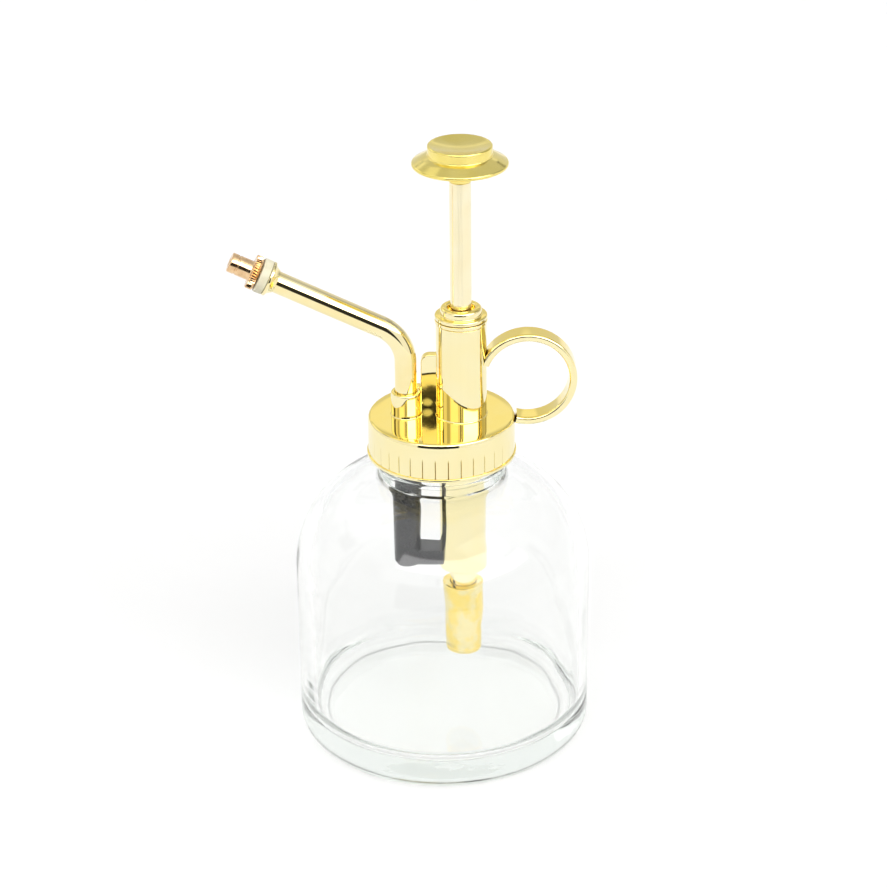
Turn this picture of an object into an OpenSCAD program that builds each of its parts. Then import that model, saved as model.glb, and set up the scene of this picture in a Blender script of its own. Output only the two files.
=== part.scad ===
// Hand mister: a glass bottle with a screw-on plunger pump, a bent spout and a fine spray nozzle.
// Origin: centre of the bottle's underside. +Z up, spout towards -X, finger ring towards +X.

/* [Bottle] */
// Outside diameter of the glass body
bottle_d = 80; // [79:0.5:82]
// Height at which the straight side turns into the shoulder
straight_h = 49.5; // [48:0.5:50]
// Radius of the shoulder's arc
shoulder_r = 28; // [27.5:0.5:28.5]
// Thickness of the glass wall
glass_wall = 3.2; // [2.5:0.1:3.5]
// Thickness of the glass floor
glass_floor = 7; // [5:0.5:9]
// Bore of the neck
neck_bore_d = 28.4; // [28.2:0.1:28.8]
// Outside diameter of the neck below its thread
neck_d = 33.8; // [33.4:0.1:33.8]

/* [Cap] */
// Height of the cap's lower edge above the base
cap_z = 83; // [82.5:0.1:83.5]
// Height of the cap
cap_h = 10.8; // [10.8:0.1:11.4]
// Outside diameter of the cap's smooth band
cap_d = 39.2; // [39:0.1:40.4]
// Number of grip ribs round the cap
rib_count = 36; // [24:1:48]
// Pitch of the neck thread
thread_pitch = 3.2; // [3.2:0.1:3.3]

/* [Pump] */
// Distance from the bottle's axis to the pump's axis
pump_x = 5.4; // [5.3:0.05:5.6]
// Outside diameter of the pump tower above the cap
tower_d = 13.4; // [13.2:0.1:14]
// Bore of the pump barrel
barrel_bore_d = 9.8; // [9.7:0.05:9.9]
// Diameter of the plunger rod
rod_d = 5.6; // [5.4:0.1:5.7]
// Full stroke of the plunger
stroke = 30; // [20:0.5:30]

/* [Thumb button] */
// Outside diameter of the button
button_d = 24.9; // [22:0.1:27]
// Height of the button's lower face above the base
button_z = 159.3; // [159.3:0.1:162]

/* [Spout] */
// Distance from the bottle's axis to the spout's upright part
spout_x = 9.3; // [9.2:0.05:9.4]
// Outside diameter of the spout tube
spout_d = 5.8; // [5.6:0.1:5.8]
// Slope of the spout's long part above the horizontal
spout_slope = 25.8; // [20:0.2:32]
// Length of the spout's sloping part, from the bend to the flared end
spout_length = 32.3; // [28:0.1:36]

/* [Finger ring] */
// Outside diameter of the finger ring
ring_d = 26; // [25.6:0.1:26.4]
// Thickness of the ring's band
ring_band = 2.05; // [1.8:0.05:2.2]
// Width of the ring's band
ring_width = 6.1; // [5:0.1:7]

/* [Hidden] */
$fn = 64;

gold = [0.93, 0.78, 0.42];
pale_gold = [0.97, 0.88, 0.62];
brass = [0.85, 0.58, 0.36];
black = [0.10, 0.10, 0.11];
white = [0.93, 0.93, 0.89];
steel = [0.78, 0.79, 0.80];
glass = [0.84, 0.92, 0.89, 0.35];

fit = 0.05;         // gap between two pieces that are pressed or glued together
slip = 0.07;        // radial clearance of a running fit

// Bottle
bottle_r = bottle_d / 2;
base_edge_r = 5;
inner_edge_r = 6;
shoulder_x = bottle_r - shoulder_r;
neck_r = neck_d / 2;
neck_bore_r = neck_bore_d / 2;
bead_r = neck_r + 1.5;
bead_z = cap_z - 4.5;
bead_h = 2.4;
disc_t = 1.6;                             // thickness of the cap's flat top
cap_top = cap_z + cap_h;
disc_under = cap_top - disc_t;
gasket_t = 1.4;
finish_top = disc_under - gasket_t - 2 * fit;

// Neck thread, on the bottle and in the cap
thread_turns = 1.25;
thread_root = 1.5;                        // height of the ridge where it meets its wall
thread_crest = 0.8;                       // height of the ridge at its crest
thread_z = cap_z + 2.9;                   // middle of the bottle's ridge where it starts
thread_steps = 30;                        // steps in a full turn
cap_inner_r = neck_r + 1.5;
bottle_crest_r = neck_r + 1.1;
cap_crest_r = neck_r + 0.4;

// Cap
cap_r = cap_d / 2;
cap_edge_r = 0.9;
rib_r = 0.3;
lip_h = 0.8;
rib_h = 5.6;

// Pump tower, gland and barrel
tower_r = tower_d / 2;
tower_top = cap_top + 26.3;
socket_r = tower_r - 1.1;
gland_r = tower_r + 0.25;
gland_h = 4.6;
gland_hole_r = 3.6;
gland_spigot_h = 2.6;
rod_r = rod_d / 2;
seal_wire_r = 0.5;
bush_h = 5;
bush_z = tower_top - gland_spigot_h - bush_h;
barrel_bore_r = barrel_bore_d / 2;
barrel_r = barrel_bore_r + 1.2;
barrel_floor_z = cap_z - 35.2;            // underside of the barrel's floor
barrel_floor_t = 2.2;
barrel_seat_z = barrel_floor_z + barrel_floor_t;
barrel_top = disc_under + 9.8;
barrel_flange_r = barrel_r + 1.5;
barrel_flange_t = 1.4;
barrel_seal_t = 0.8;
foot_port_r = 1.6;
spigot_r = 3.15;
spigot_h = 7.8;
side_port_r = 1;
side_port_z = barrel_seat_z + 2.6;

// Plunger
piston_z = cap_top - 1.8;                 // underside of the piston at rest
piston_h = 6;
piston_r = barrel_bore_r - slip;
stud_r = 1.45;
nut_h = 2;
nut_r = 2.9;
clip_t = 1.2;
clip_gap = 0.2;
clip_z = bush_z - clip_gap - clip_t;
clip_groove_depth = 0.5;
button_r = button_d / 2;
hub_r = rod_r + 0.25;
screw_r = 1.9;
screw_h = 5.9;

// Foot valve and suction tube
foot_ball_r = 2.4;
ball_gap = 0.06;                          // a ball stands this far off its seat
cage_r = 3.15;
cage_bore_r = 2.8;
cage_h = 7.5;
cage_flange_t = 0.8;
suction_r = 5.2;
suction_bore_r = 4.3;
suction_top = barrel_floor_z - 4.8;
suction_bottom = suction_top - 19.8;
strainer_t = 1.2;

// Outlet chamber, an upright under the spout with a short arm to the barrel
chamber_r = 3.7;
chamber_z = barrel_floor_z + 1.9;
arm_half_w = 3.5;
arm_h = 4.6;
chamber_bore_r = 2.9;
valve_bore_r = 2.4;
seat_h = 3.5;
seat_z = chamber_z + 4.8;
outlet_seat_top = seat_z + seat_h;
outlet_port_r = 1.3;
outlet_ball_r = 1.9;
outlet_spring_top = outlet_seat_top + 14;
riser_r = 1.5;
plug_h = 1.8;

// Spout
spout_r = spout_d / 2;
spout_bore_r = spout_r - 0.8;
bend_r = 11;
bend_angle = 90 - spout_slope;
bend_z = cap_top + 15.3;                  // where the upright ends and the bend starts
spout_seat_z = disc_under - 8.2;
spout_seal_t = 0.8;
boss_r = 4;
boss_h = 6.7;
flare_r = 4.7;
flare_h = 2.4;

// Nozzle, measured along the spout from the end of the bend
washer_t = 2.45;
washer_at = spout_length + fit;
knurl_at = washer_at + washer_t + 0.25;
knurl_h = 2;
knurl_r = 4.3;
knurl_teeth = 30;
knurl_tooth = 0.5;
nozzle_r = 2.65;
nozzle_h = 8;
stem_r = 1.6;
stem_plug_h = 6;
disc_at = knurl_at + nozzle_h - 1.35;
disc_h = 0.8;
spray_r = 0.25;

// Rib and ring
rib_y = 3.6;                              // its flat face stands this far behind the pump's axis
rib_t = 2.5;
rib_end = 5.4;                            // its free end, left of the bottle's axis
rib_top = cap_top + 16.1;
rib_corner_r = 1.8;
rib_foot_step = 0.6;                      // the rib's foot stops this far below the boss's top
ring_r = ring_d / 2;
ring_x = pump_x + 17.5;
ring_z = cap_top + 10.7;
ring_from = -105;                         // where the band leaves the cap's rim
ring_to = 159;                            // where the band meets the tower
ring_corner_r = 0.7;

// ---------- helpers ----------

module at_pump() { translate([pump_x, 0, 0]) children(); }
module at_spout() { translate([-spout_x, 0, 0]) children(); }

// Places its children on the spout's sloping centreline, at a distance from the end of the bend
module along_spout(distance) {
    translate([-spout_x - bend_r, 0, bend_z]) rotate([0, -bend_angle, 0])
        translate([bend_r, 0, distance]) children();
}

module disc(r, z, h) { translate([0, 0, z]) cylinder(r = r, h = h); }

module ring(outer, inner, z, h) {
    rotate_extrude() translate([inner, z]) square([outer - inner, h]);
}

module o_ring(r, wire_r, z) {
    rotate_extrude() translate([r, z]) circle(wire_r, $fn = 24);
}

module rounded_square(w, h, r) {
    translate([r, 0]) square([w - 2 * r, h]);
    translate([0, r]) square([w, h - 2 * r]);
    for (x = [r, w - r], y = [r, h - r]) translate([x, y]) circle(r, $fn = 32);
}

// A helical ridge: root_r is inside the wall it grows from, and its ends run out to nothing
module thread_ridge(root_r, wall_r, crest_r, z) {
    steps = round(thread_steps * thread_turns);
    runout = 4;
    function swell(i) = min(1, min(i, steps - i) / runout);
    function tip_r(i) = wall_r + (crest_r - wall_r) * max(0.04, swell(i));
    function turn(i) = 360 * i / thread_steps;
    function at(r, dz, i) = [
        r * cos(turn(i)), r * sin(turn(i)), z + dz + thread_pitch * i / thread_steps
    ];
    points = [for (i = [0:steps]) each [
        at(root_r, -thread_root / 2, i), at(tip_r(i), -thread_crest / 2, i),
        at(tip_r(i), thread_crest / 2, i), at(root_r, thread_root / 2, i)
    ]];
    sides = [for (i = [0:steps - 1], k = [0:3]) [
        4 * i + k, 4 * i + (k + 1) % 4, 4 * (i + 1) + (k + 1) % 4, 4 * (i + 1) + k
    ]];
    first = [3, 2, 1, 0];
    last = [for (k = [0:3]) 4 * steps + k];
    outward = concat([first, last], sides);
    inward = [for (f = outward) [for (k = [len(f) - 1:-1:0]) f[k]]];
    polyhedron(points, crest_r > wall_r ? outward : inward, convexity = 8);
}

// A round wire wound into a helix, with its two end turns closed up
module coil(r, wire_r, z0, z1, turns, steps = 16, sides = 6) {
    n = turns * steps;
    low = z0 + wire_r;
    high = z1 - wire_r;
    close = 2 * wire_r + 0.1;
    function rise(t) = t < 1 ? t * close
        : t > turns - 1 ? high - low - (turns - t) * close
        : close + (t - 1) / (turns - 2) * (high - low - 2 * close);
    points = [for (i = [0:n], k = [0:sides - 1])
        let (a = 360 * i / steps, b = 360 * k / sides, rr = r + wire_r * cos(b))
        [rr * cos(a), rr * sin(a), low + rise(i / steps) + wire_r * sin(b)]
    ];
    walls = [for (i = [0:n - 1], k = [0:sides - 1]) [
        sides * i + k, sides * i + (k + 1) % sides,
        sides * (i + 1) + (k + 1) % sides, sides * (i + 1) + k
    ]];
    first = [for (k = [sides - 1:-1:0]) k];
    last = [for (k = [0:sides - 1]) sides * n + k];
    polyhedron(points, concat([first, last], walls), convexity = 10);
}

// ---------- bottle ----------

// Half-section of a bottle body whose wall is moved in by inset, up to the height top
module body_section(inset, floor_z, edge_r, top) {
    r = bottle_r - inset;
    arc_r = shoulder_r - inset;
    translate([0, floor_z]) square([r - edge_r, edge_r]);
    translate([0, floor_z + edge_r]) square([r, straight_h - floor_z - edge_r]);
    translate([r - edge_r, floor_z + edge_r]) circle(edge_r);
    intersection() {
        union() {
            translate([shoulder_x, straight_h]) circle(arc_r);
            translate([0, straight_h]) square([shoulder_x, arc_r]);
        }
        translate([0, straight_h - 1]) square([r, top - straight_h + 1]);
    }
}

module glass_bottle() {
    color(glass) union() {
        rotate_extrude($fn = 120) difference() {
            union() {
                body_section(0, 0, base_edge_r, straight_h + shoulder_r);
                square([neck_r, finish_top]);
                translate([neck_r - 1, bead_z]) rounded_square(bead_r - neck_r + 1, bead_h, 0.9);
            }
            body_section(glass_wall, glass_floor, inner_edge_r, straight_h + shoulder_r - glass_wall);
            translate([0, glass_floor]) square([neck_bore_r, finish_top]);
        }
        thread_ridge(neck_r - 0.4, neck_r, bottle_crest_r, thread_z);
    }
}

module neck_gasket() {
    color(white) ring(neck_r + 0.1, neck_bore_r - 0.6, finish_top + fit, gasket_t);
}

// ---------- cap, tower, boss, rib and finger ring: one moulding ----------

module cap_body() {
    rotate_extrude($fn = 120) difference() {
        union() {
            translate([0, cap_z]) square([cap_r, cap_h - cap_edge_r]);
            translate([0, cap_top - cap_edge_r]) square([cap_r - cap_edge_r, cap_edge_r]);
            translate([cap_r - cap_edge_r, cap_top - cap_edge_r]) circle(cap_edge_r);
            translate([0, cap_z]) square([cap_r + 0.4, lip_h]);
        }
        translate([0, cap_z - 1]) square([cap_inner_r, disc_under - cap_z + 1]);
    }
}

module grip_ribs() {
    for (i = [0:rib_count - 1]) rotate(360 * (i + 0.5) / rib_count)
        translate([cap_r, 0, cap_z + lip_h / 2]) cylinder(r = rib_r, h = rib_h + lip_h / 2, $fn = 16);
}

module rib() {
    foot_z = cap_top - disc_t / 2;
    translate([0, rib_y + rib_t, 0]) rotate([90, 0, 0]) linear_extrude(rib_t) {
        translate([-rib_end, foot_z]) square([rib_end + pump_x, rib_top - rib_corner_r - foot_z]);
        translate([-rib_end + rib_corner_r, foot_z])
            square([rib_end + pump_x - rib_corner_r, rib_top - foot_z]);
        translate([-rib_end + rib_corner_r, rib_top - rib_corner_r]) circle(rib_corner_r);
    }
    // low foot that ties the rib to the spout boss
    translate([-spout_x, rib_y, foot_z])
        cube([spout_x - rib_end + 1, rib_t, boss_h - rib_foot_step + disc_t / 2]);
}

module finger_ring() {
    translate([ring_x, 0, ring_z]) rotate([90, 0, 0])
        rotate_extrude(angle = ring_to - ring_from, start = ring_from, $fn = 120)
            translate([ring_r - ring_band, -ring_width / 2])
                rounded_square(ring_band, ring_width, ring_corner_r);
}

module pump_head() {
    color(gold) union() {
        difference() {
            union() {
                cap_body();
                grip_ribs();
                at_pump() disc(tower_r, cap_top - disc_t / 2, tower_top - cap_top + disc_t / 2);
                at_spout() disc(boss_r, cap_top - disc_t / 2, boss_h + disc_t / 2);
                rib();
                finger_ring();
            }
            at_pump() disc(socket_r, disc_under - 1, tower_top);
            at_spout() disc(spout_r + fit, disc_under - 1, tower_top);
            translate([0, 0, cap_z - 1]) cylinder(r = cap_inner_r, h = disc_under - cap_z + 1);
        }
        thread_ridge(cap_inner_r + 0.4, cap_inner_r, cap_crest_r, thread_z - thread_pitch / 2);
    }
}

// ---------- gland ----------

module gland_cap() {
    collar_r = 5.5;
    color(gold) at_pump() rotate_extrude() difference() {
        union() {
            translate([0, tower_top + fit]) rounded_square(gland_r, 1.1, 0.3);
            translate([0, tower_top + 0.5]) square([gland_r - 0.35, 1.4]);
            translate([0, tower_top + 1.3]) rounded_square(gland_r, 1.2, 0.5);
            translate([0, tower_top + 1.6]) rounded_square(collar_r, gland_h - 1.6, 1.3);
            translate([0, tower_top - gland_spigot_h + fit]) square([socket_r - fit, gland_spigot_h + 1]);
        }
        translate([-1, tower_top + 1.6]) square([gland_hole_r + 1, gland_h]);
        translate([gland_hole_r, tower_top + gland_h]) circle(0.55, $fn = 32);
        translate([-1, tower_top - gland_spigot_h - 1]) square([rod_r + 0.15 + 1, gland_h + 5]);
        translate([-1, tower_top - gland_spigot_h - 1]) square([rod_r + 1.15 + 1, 2.4]);
        translate([-2, cap_top]) square([2, gland_h + tower_top]);
    }
}

module rod_seal() {
    color(black) at_pump() o_ring(rod_r + seal_wire_r + fit, seal_wire_r, bush_z + bush_h + 0.75);
}

module guide_bush() {
    color(white) at_pump() difference() {
        disc(socket_r - fit, bush_z, bush_h);
        disc(rod_r + slip, bush_z - 1, bush_h + 2);
    }
}

// ---------- plunger ----------

module plunger_rod() {
    color(pale_gold) at_pump() rotate_extrude() {
        difference() {
            translate([0, piston_z + piston_h]) square([rod_r, button_z - fit - piston_z - piston_h]);
            translate([rod_r - clip_groove_depth, clip_z - fit / 2]) square([1, clip_t + fit]);
        }
        translate([0, button_z - 1]) square([screw_r, screw_h + 1 - 0.2]);
        translate([0, piston_z - nut_h - 0.2]) square([stud_r, piston_h + nut_h + 1]);
    }
}

module thumb_button() {
    rim_z = button_z + 4.7;
    groove_r = button_r * 0.72;
    boss_top = button_z + 10;
    crest_r = button_r * 0.56;
    dish_depth = 1.3;
    dish_edge_r = crest_r - 0.1;
    dish_r = (pow(dish_edge_r, 2) + pow(dish_depth, 2)) / (2 * dish_depth);
    color(gold) at_pump() rotate_extrude($fn = 120) difference() {
        union() {
            // hub and shallow conical underside
            translate([0, button_z]) square([hub_r, 4]);
            polygon([
                [0, button_z + 1.4], [hub_r, button_z + 1.4], [button_r - 0.6, rim_z - 0.55],
                [button_r - 0.3, rim_z + 0.5], [groove_r, button_z + 6.9], [0, button_z + 6.9]
            ]);
            translate([button_r - 0.58, rim_z]) circle(0.58, $fn = 32);
            // raised middle with a rolled edge
            translate([0, button_z + 6]) square([groove_r - 0.5, 1.6]);
            translate([0, button_z + 7]) square([groove_r - 0.85, 1]);
            translate([crest_r - 0.3, boss_top - 2.3]) circle(2.3);
            translate([0, button_z + 6]) square([crest_r, boss_top - button_z - 6]);
        }
        translate([0, boss_top - dish_depth + dish_r]) circle(dish_r);
        translate([0, button_z - 1]) square([screw_r + fit, screw_h + 1]);
        translate([-20, button_z - 1]) square([20, 20]);
    }
}

module stop_clip() {
    color(steel) at_pump() difference() {
        ring(rod_r + 1.4, rod_r - clip_groove_depth + fit, clip_z, clip_t);
        translate([0, -1.9, clip_z - 1]) cube([10, 3.8, 4]);
    }
}

module piston() {
    groove_z = piston_z + 2.3;
    groove_h = 1.2;
    color(white) at_pump() rotate_extrude() difference() {
        translate([stud_r + fit, piston_z]) square([piston_r - stud_r - fit, piston_h - fit]);
        translate([piston_r - 1.05, groove_z]) square([2, groove_h]);
    }
}

module piston_seal() {
    color(black) at_pump() o_ring(barrel_bore_r - seal_wire_r - slip, seal_wire_r, piston_z + 2.9);
}

module piston_nut() {
    color(steel) at_pump() difference() {
        translate([0, 0, piston_z - nut_h - fit]) cylinder(r = nut_r, h = nut_h, $fn = 6);
        disc(stud_r + fit, piston_z - nut_h - 1, nut_h + 2);
    }
}

module return_spring() {
    color(steel) at_pump()
        coil(3.95, 0.42, barrel_seat_z + cage_flange_t + 2 * fit, piston_z - fit, 9);
}

// ---------- barrel, foot valve and suction tube ----------

module pump_barrel() {
    flange_z = disc_under - barrel_seal_t - barrel_flange_t - fit;
    color(gold) at_pump() difference() {
        rotate_extrude() difference() {
            union() {
                translate([0, barrel_floor_z]) square([barrel_r, flange_z - barrel_floor_z + 1]);
                translate([0, flange_z]) square([barrel_flange_r, barrel_flange_t]);
                translate([0, flange_z]) square([socket_r - fit, barrel_top - flange_z]);
                translate([0, barrel_floor_z - spigot_h]) square([spigot_r, spigot_h + 1]);
            }
            translate([-1, barrel_seat_z]) square([barrel_bore_r + 1, barrel_top]);
            translate([-1, barrel_floor_z - spigot_h - 1]) square([foot_port_r + 1, barrel_top]);
            translate([-1, 0]) square([1, barrel_top + 1]);
        }
        // delivery port towards the outlet chamber
        translate([-barrel_r - 1, 0, side_port_z]) rotate([0, 90, 0])
            cylinder(r = side_port_r, h = barrel_r);
        // vent that the piston uncovers as it goes down
        translate([0, 0, piston_z - 4]) rotate([0, 90, 0])
            cylinder(r = 0.6, h = barrel_r + 1, $fn = 24);
    }
}

module barrel_seal() {
    color(black) at_pump()
        ring(barrel_flange_r - 0.1, socket_r + fit, disc_under - barrel_seal_t, barrel_seal_t - fit);
}

module valve_cage() {
    z = barrel_seat_z + fit;
    color(black) at_pump() difference() {
        union() {
            disc(barrel_bore_r - fit, z, cage_flange_t);
            disc(cage_r, z, cage_h);
        }
        disc(cage_bore_r, z - 1, cage_h - 0.2);
        for (a = [45, 135]) rotate(a) translate([-5, -0.8, z + 1.6]) cube([10, 1.6, cage_h - 3.2]);
        disc(0.9, z, cage_h + 1);
    }
}

module foot_valve_ball() {
    height = sqrt(pow(foot_ball_r + ball_gap, 2) - pow(foot_port_r, 2));
    color(steel) at_pump() translate([0, 0, barrel_seat_z + height]) sphere(foot_ball_r);
}

module suction_tube() {
    length = suction_top - suction_bottom;
    socket_h = 3.4;
    color(gold) at_pump() rotate_extrude() difference() {
        translate([0, suction_bottom]) square([suction_r, length]);
        translate([-1, suction_bottom - 1]) square([suction_bore_r + 1, length - socket_h]);
        translate([-1, suction_bottom]) square([spigot_r + fit + 1, suction_top]);
        translate([-1, 0]) square([1, suction_top + 1]);
    }
}

module strainer() {
    color(white) at_pump() difference() {
        disc(suction_bore_r - fit, suction_bottom + 0.5, strainer_t);
        disc(0.5, suction_bottom, 4);
        for (k = [1, 2], i = [0:6 * k - 1]) rotate(60 * i / k) translate([1.6 * k, 0, 0])
            disc(0.45, suction_bottom, 4);
    }
}

// ---------- outlet chamber ----------

module outlet_chamber() {
    top = disc_under - fit;
    color(black) difference() {
        union() {
            at_spout() disc(chamber_r, chamber_z, top - chamber_z);
            translate([-spout_x, -arm_half_w, chamber_z]) cube([spout_x + pump_x, 2 * arm_half_w, arm_h]);
        }
        // room for the round barrel at the end of the arm
        at_pump() disc(barrel_r + fit, chamber_z - 1, top);
        at_spout() {
            disc(chamber_bore_r, chamber_z - 1, outlet_seat_top - chamber_z + 1);
            disc(valve_bore_r, outlet_seat_top - 1, outlet_spring_top - outlet_seat_top + 1);
            disc(riser_r, outlet_spring_top - 1, spout_seat_z - outlet_spring_top + 2);
            disc(spout_r + fit, spout_seat_z, top);
        }
        translate([-spout_x, 0, side_port_z]) rotate([0, 90, 0])
            cylinder(r = side_port_r, h = spout_x + pump_x);
    }
}

module outlet_seat() {
    color(brass) at_spout() difference() {
        disc(chamber_bore_r - fit, seat_z, seat_h - fit);
        disc(outlet_port_r, seat_z - 1, seat_h + 2);
    }
}

module chamber_plug() {
    color(black) at_spout() {
        disc(chamber_bore_r - fit, chamber_z, plug_h);
        disc(chamber_r - 0.6, chamber_z - 1, 1 - fit / 2);
        disc(chamber_bore_r - 0.5, chamber_z - 0.5, 1);
    }
}

module outlet_ball() {
    height = sqrt(pow(outlet_ball_r + ball_gap, 2) - pow(outlet_port_r, 2));
    color(steel) at_spout() translate([0, 0, outlet_seat_top + height]) sphere(outlet_ball_r);
}

module outlet_spring() {
    base = outlet_seat_top + 1.5 + outlet_ball_r;
    color(steel) at_spout() coil(1.75, 0.25, base, outlet_spring_top - fit, 7, 12, 6);
}

// ---------- spout and nozzle ----------

// The spout's path as a solid of radius r: an upright, a bend and a slope, longer by over at both ends.
// The slope is a hair wider and starts inside the bend, so the two always run into each other.
module spout_path(r, over = 0) {
    foot = spout_seat_z + spout_seal_t + fit - over;
    at_spout() disc(r, foot, bend_z - foot);
    translate([-spout_x - bend_r, 0, bend_z]) rotate([90, 0, 0])
        rotate_extrude(angle = bend_angle) translate([bend_r, 0]) circle(r);
    along_spout(-0.3) cylinder(r = r + 0.02, h = spout_length + 0.3 + over);
}

module spout_tube() {
    flare_arc = 3.2;
    color(gold) difference() {
        union() {
            spout_path(spout_r);
            along_spout(spout_length - flare_h) rotate_extrude() difference() {
                square([flare_r, flare_h]);
                translate([spout_r + flare_arc, flare_h - 3.5]) circle(flare_arc);
            }
        }
        spout_path(spout_bore_r, 1);
    }
}

module spout_seal() {
    color(black) at_spout() ring(spout_r - fit, spout_bore_r - 0.2, spout_seat_z + fit / 2, spout_seal_t);
}

module nozzle_washer() {
    color(white) along_spout(washer_at) rotate_extrude()
        translate([stem_r + fit, 0]) rounded_square(flare_r - stem_r - fit, washer_t, 0.25);
}

module nozzle_stem() {
    neck_h = disc_at - spout_length;
    color(brass) along_spout(spout_length) rotate_extrude() difference() {
        union() {
            translate([0, -stem_plug_h]) square([spout_bore_r - fit, stem_plug_h]);
            translate([0, -1]) square([stem_r, neck_h - 0.1]);
            polygon([[0, neck_h - 2], [stem_r, neck_h - 1.1], [0.9, neck_h - 0.15], [0, neck_h - 0.15]]);
        }
        translate([-1, -stem_plug_h - 1]) square([0.5 + 1, stem_plug_h + neck_h + 2]);
        translate([-1, -stem_plug_h - 1]) square([1.2 + 1, stem_plug_h]);
        translate([-5, -stem_plug_h - 1]) square([5, stem_plug_h + neck_h + 2]);
    }
}

module orifice_disc() {
    color(steel) along_spout(disc_at) difference() {
        cylinder(r = stem_r, h = disc_h);
        translate([0, 0, -1]) cylinder(r = spray_r, h = disc_h + 2, $fn = 16);
    }
}

module nozzle_cap() {
    color(brass) along_spout(knurl_at) difference() {
        union() {
            linear_extrude(knurl_h) {
                circle(knurl_r);
                for (i = [0:knurl_teeth - 1]) rotate(360 * i / knurl_teeth)
                    translate([knurl_r, 0]) rotate(45) square(knurl_tooth, center = true);
            }
            rotate_extrude() {
                square([nozzle_r, nozzle_h - 0.4]);
                square([nozzle_r - 0.4, nozzle_h]);
                translate([nozzle_r - 0.4, nozzle_h - 0.4]) circle(0.4, $fn = 32);
            }
        }
        translate([0, 0, -1]) cylinder(r = stem_r + slip, h = nozzle_h + 0.5);
        cylinder(r = 0.9, h = nozzle_h + 1);
    }
}

glass_bottle();
neck_gasket();
pump_head();
gland_cap();
guide_bush();
rod_seal();
plunger_rod();
thumb_button();
stop_clip();
piston();
piston_seal();
piston_nut();
return_spring();
pump_barrel();
barrel_seal();
valve_cage();
foot_valve_ball();
suction_tube();
strainer();
outlet_chamber();
outlet_seat();
chamber_plug();
outlet_ball();
outlet_spring();
spout_tube();
spout_seal();
nozzle_washer();
nozzle_stem();
orifice_disc();
nozzle_cap();
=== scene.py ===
"""The looks of a hand mister: a clear glass bottle, a gold pump head and a small brass nozzle."""

from functools import reduce
from math import asin, atan2, cos, degrees, floor, pi, radians, sin, sqrt, tan

import bmesh
import bpy
from mathutils import Matrix, Vector, noise


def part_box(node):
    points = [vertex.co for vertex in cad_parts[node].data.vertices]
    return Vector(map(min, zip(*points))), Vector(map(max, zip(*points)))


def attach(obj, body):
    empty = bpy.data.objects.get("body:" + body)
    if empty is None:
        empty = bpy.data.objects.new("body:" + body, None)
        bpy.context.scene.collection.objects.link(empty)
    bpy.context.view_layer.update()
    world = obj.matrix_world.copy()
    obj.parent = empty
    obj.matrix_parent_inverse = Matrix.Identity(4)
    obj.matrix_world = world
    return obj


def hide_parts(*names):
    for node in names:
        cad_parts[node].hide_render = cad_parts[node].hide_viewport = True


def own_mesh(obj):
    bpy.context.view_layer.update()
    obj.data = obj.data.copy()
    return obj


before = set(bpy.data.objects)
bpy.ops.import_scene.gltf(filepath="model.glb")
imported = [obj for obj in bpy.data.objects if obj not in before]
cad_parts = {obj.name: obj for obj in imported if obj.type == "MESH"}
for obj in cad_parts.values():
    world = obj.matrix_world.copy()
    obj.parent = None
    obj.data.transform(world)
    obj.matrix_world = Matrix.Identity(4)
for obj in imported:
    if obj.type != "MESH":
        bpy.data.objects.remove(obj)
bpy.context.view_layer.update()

MM = 0.001


# ---------- measures, read from the frame, in millimetres ----------


class Box:
    """The box of a CAD node at rest."""

    def __init__(self, node):
        low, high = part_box(node)
        self.low, self.high = Vector(low) / MM, Vector(high) / MM
        self.mid, self.size = (self.low + self.high) / 2, self.high - self.low


BOTTLE = Box("glass_bottle")
HEAD = Box("pump_head")
GLAND = Box("gland_cap")
ROD = Box("plunger_rod")
BUTTON = Box("thumb_button")
CLIP = Box("stop_clip")
PISTON = Box("piston")
BARREL = Box("pump_barrel")
SUCTION = Box("suction_tube")
SPOUT = Box("spout_tube")
SPRING = Box("return_spring")
OUTLET_SPRING = Box("outlet_spring")

# The bottle: a straight side up to STRAIGHT_Z, a round shoulder, and a neck with a screw thread
BOTTLE_R = BOTTLE.high.x
STRAIGHT_Z, SHOULDER_R = 49.5, 28.0
SHOULDER_X = BOTTLE_R - SHOULDER_R
WALL, FLOOR_T = 3.2, 7.0
NECK_R, NECK_BORE_R = 16.9, 14.2
THREAD_PITCH, THREAD_TURNS = 3.2, 1.25

# The cap and the pump's tower on it
CAP_Z = HEAD.low.z
CAP_TOP = CAP_Z + 10.8
CAP_BORE_R = 18.4
DISC_T = 1.6
GROOVES = 36
LIP_R = -HEAD.low.x
CAP_R = LIP_R - 0.4
PUMP = (BUTTON.mid.x, 0.0)
TOWER_TOP = HEAD.high.z
TOWER_R = GLAND.size.x / 2 - 0.25
SOCKET_R = TOWER_R - 1.1
ROD_R = ROD.size.x / 2

# The spout: an upright, a bend and a slope. Places along it are measured from where the bend starts.
SPOUT_X = -9.3
SPOUT_R = 2.9
BORE_R = SPOUT_R - 0.8
BEND_Z = CAP_TOP + 15.3
BEND_R = 11.0
BEND_ANGLE = radians(64.2)
SLOPE_S = BEND_R * BEND_ANGLE
TIP_S = SLOPE_S + 32.3
FLARE_R = 4.7
WASHER_S = TIP_S + 0.05
KNURL_S = WASHER_S + 2.7
BOSS_R, BOSS_H = 4.0, 6.7


# ---------- mesh tools ----------


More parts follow.
